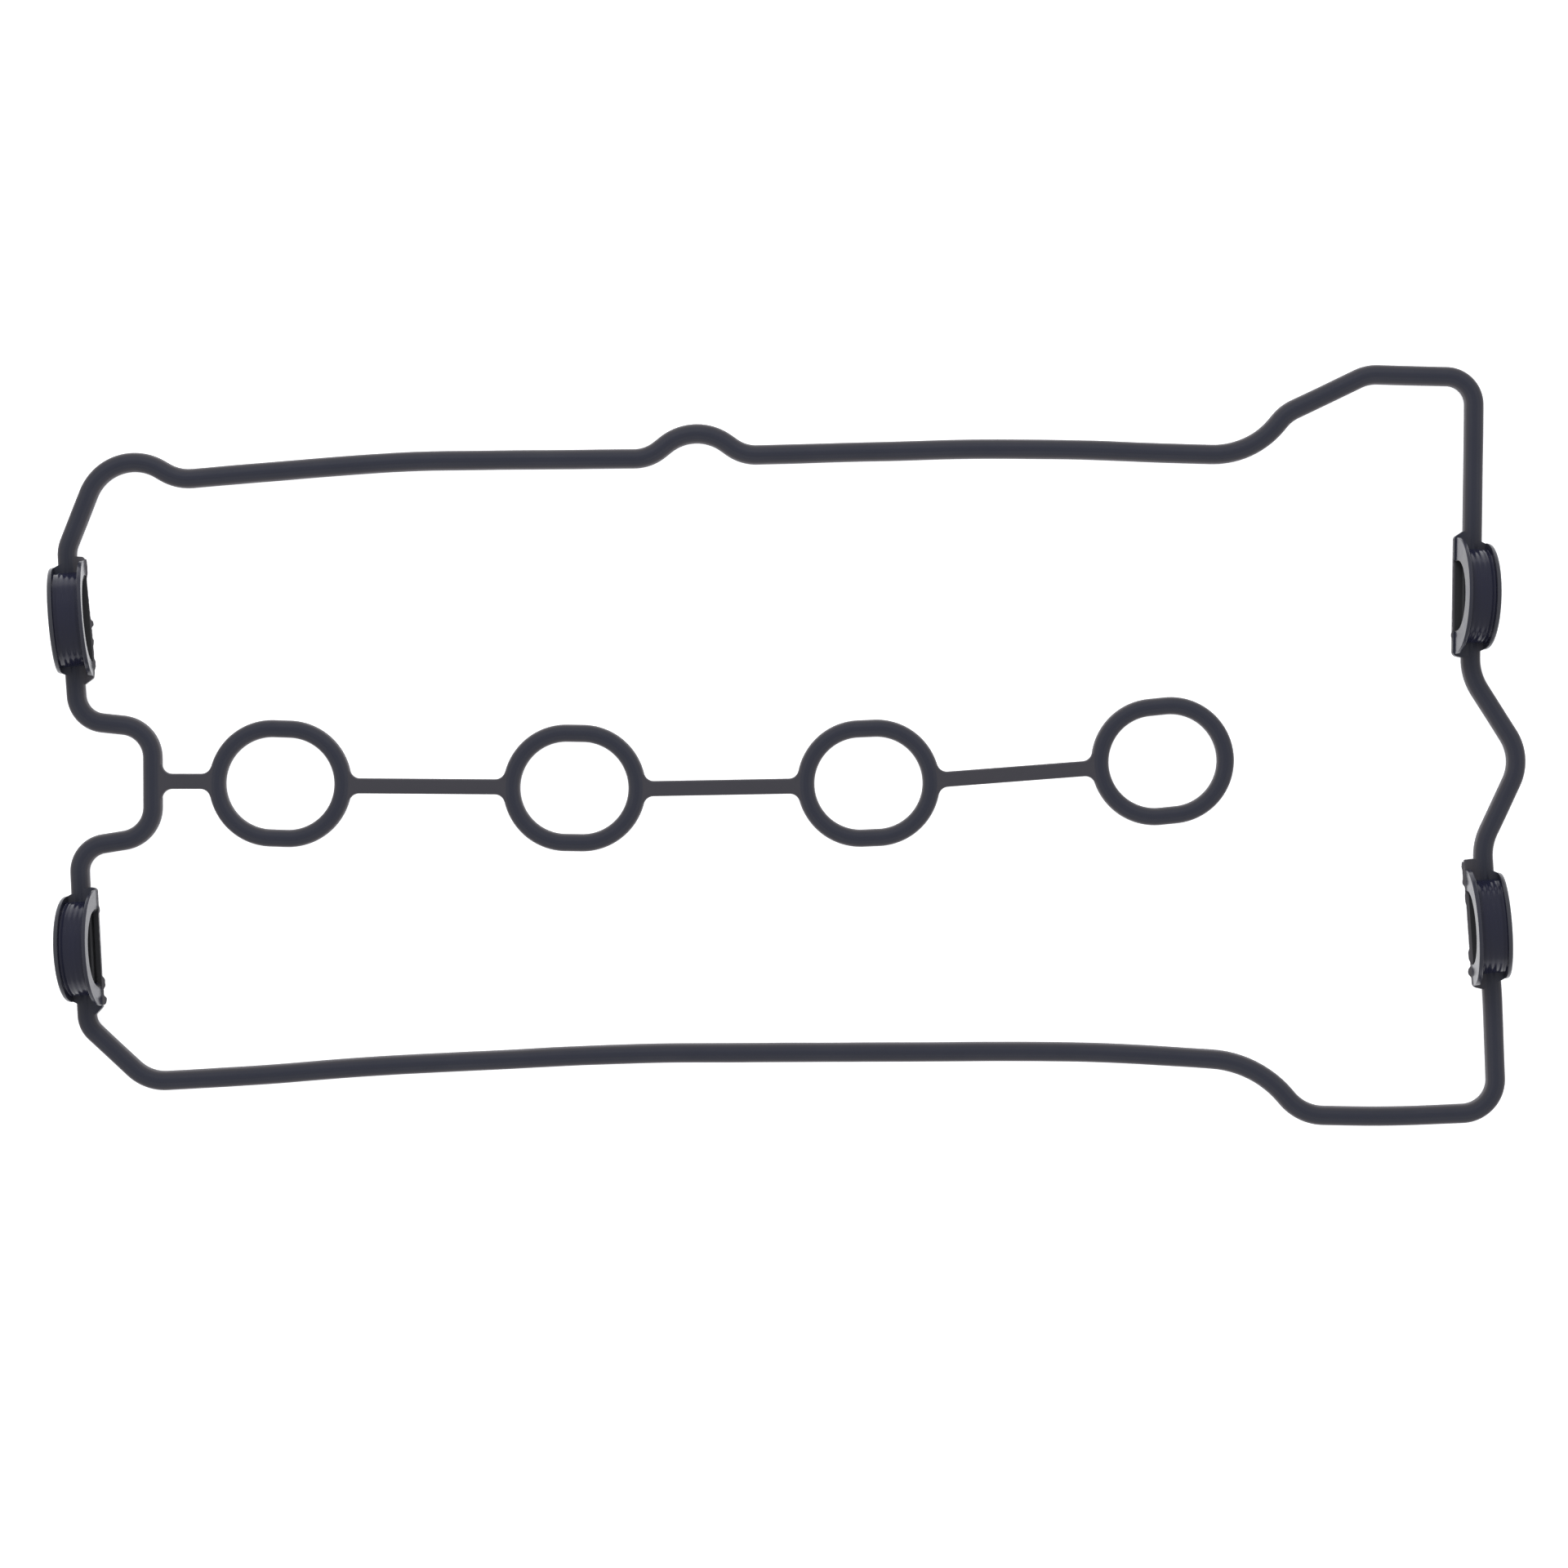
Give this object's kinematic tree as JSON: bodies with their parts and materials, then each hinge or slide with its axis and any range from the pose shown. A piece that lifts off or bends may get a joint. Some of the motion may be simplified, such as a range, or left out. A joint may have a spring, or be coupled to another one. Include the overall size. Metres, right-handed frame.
{
  "type": "valve cover gasket",
  "caption": "One-piece moulded rubber valve cover gasket: an outline bead, a chain of oval rings joined by webs, and half-moon plugs standing at the two ends.",
  "frame": {"origin": "middle of the bounding box, on the plane of the tongue's foot that seats in the cover's groove", "axes": "+X along the length towards the wide end with the timing chain gap, +Y across towards the longer side, +Z from the cover towards the cylinder head, the way the half-moon plugs stand"},
  "size_m": [0.4012, 0.207, 0.0208],
  "materials": {
    "rubber": "satin, smooth moulded"
  },
  "bodies": {
    "root": {"gasket": "rubber"}
  },
  "joints": []
}
